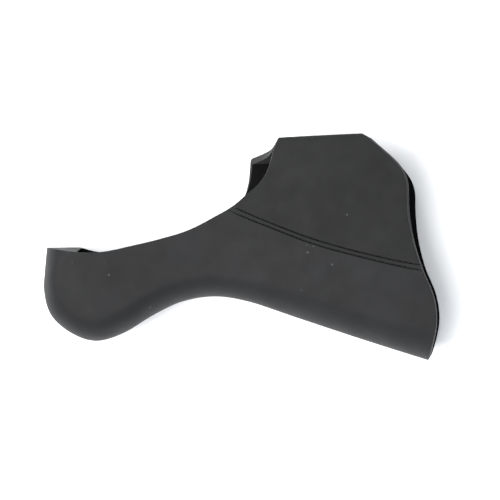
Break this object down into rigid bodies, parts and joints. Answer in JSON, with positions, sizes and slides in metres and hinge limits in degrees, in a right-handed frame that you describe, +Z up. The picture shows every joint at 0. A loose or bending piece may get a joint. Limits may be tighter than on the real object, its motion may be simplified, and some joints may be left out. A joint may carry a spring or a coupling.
{
  "type": "brake lever hood",
  "caption": "Hollow rubber hood of a drop-bar brake shift lever: round pommel, slim open neck, wide rear cover with an underside strap.",
  "frame": {"origin": "centre of the bounding box, on the plane the hood lies on", "axes": "+X back towards the handlebar, +Y towards the underside of the lever, +Z up, away from the side the hood lies on, which is the rider's right"},
  "size_m": [0.1322, 0.0748, 0.0374],
  "materials": {
    "sleeve_rubber": "matte, fine grain",
    "cover_rubber": "matte, fine grain",
    "strip_rubber": "matte, fine grain"
  },
  "bodies": {
    "root": {"grip_sleeve": "sleeve_rubber", "housing_cover": "cover_rubber", "seam_strip_right": "strip_rubber", "seam_strip_left": "strip_rubber"}
  },
  "joints": []
}
